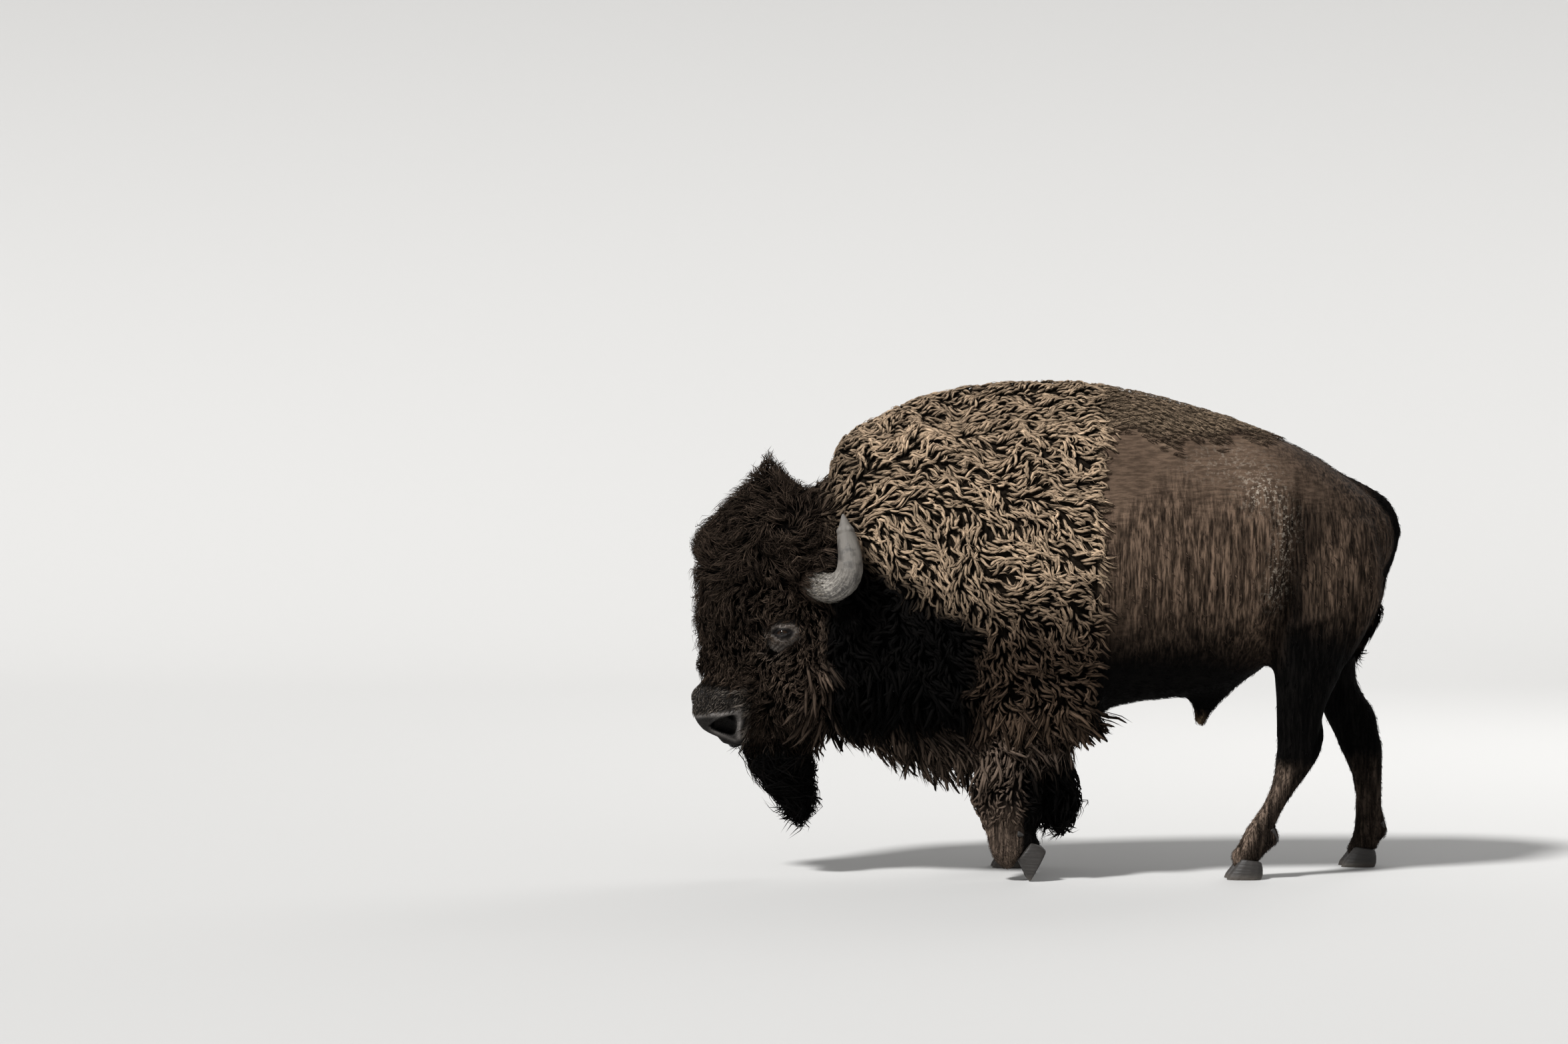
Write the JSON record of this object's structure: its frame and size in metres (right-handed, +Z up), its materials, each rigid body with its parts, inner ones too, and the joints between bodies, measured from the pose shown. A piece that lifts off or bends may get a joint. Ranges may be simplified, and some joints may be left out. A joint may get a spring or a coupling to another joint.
{
  "type": "walking bison figure",
  "caption": "Life-size still model of a bull bison walking with its head lowered: shaggy cape, beard and leg hair, short coat behind, curved horns and cloven hooves.",
  "frame": {"origin": "on the floor under the middle of the model's box", "axes": "the head points along -X, the animal's left side faces -Y, and +Z is up"},
  "size_m": [2.595, 0.8322, 1.8021],
  "materials": {
    "cape": "woolly tawny brown hair in crimped locks",
    "dark_hair": "long, soft, nearly black brown hair",
    "short_coat": "short, flat, dark brown hair with a soft sheen",
    "horn": "weathered grey horn, rough at the base",
    "hoof": "dusty dark horn",
    "eye": "wet, nearly black"
  },
  "bodies": {
    "root": {"neck": "cape", "trunk_shoulders": "cape", "head": "dark_hair", "beard": "dark_hair", "leg_hair_left": "dark_hair", "leg_hair_right": "dark_hair", "upper_leg_fore_left": "dark_hair", "upper_leg_fore_right": "dark_hair", "ear_left": "dark_hair", "ear_right": "dark_hair", "tail_tuft": "dark_hair", "trunk_barrel": "short_coat", "trunk_rump": "short_coat", "upper_leg_hind_left": "short_coat", "upper_leg_hind_right": "short_coat", "lower_leg_fore_left": "short_coat", "lower_leg_fore_right": "short_coat", "lower_leg_hind_left": "short_coat", "lower_leg_hind_right": "short_coat", "tail": "short_coat", "horn_left": "horn", "horn_right": "horn", "hoof_fore_left_outer": "hoof", "hoof_fore_left_inner": "hoof", "hoof_fore_right_outer": "hoof", "hoof_fore_right_inner": "hoof", "hoof_hind_left_outer": "hoof", "hoof_hind_left_inner": "hoof", "hoof_hind_right_outer": "hoof", "hoof_hind_right_inner": "hoof", "dewclaw_fore_left_outer": "hoof", "dewclaw_fore_left_inner": "hoof", "dewclaw_fore_right_outer": "hoof", "dewclaw_fore_right_inner": "hoof", "dewclaw_hind_left_outer": "hoof", "dewclaw_hind_left_inner": "hoof", "dewclaw_hind_right_outer": "hoof", "dewclaw_hind_right_inner": "hoof", "eye_left": "eye", "eye_right": "eye"}
  },
  "joints": []
}
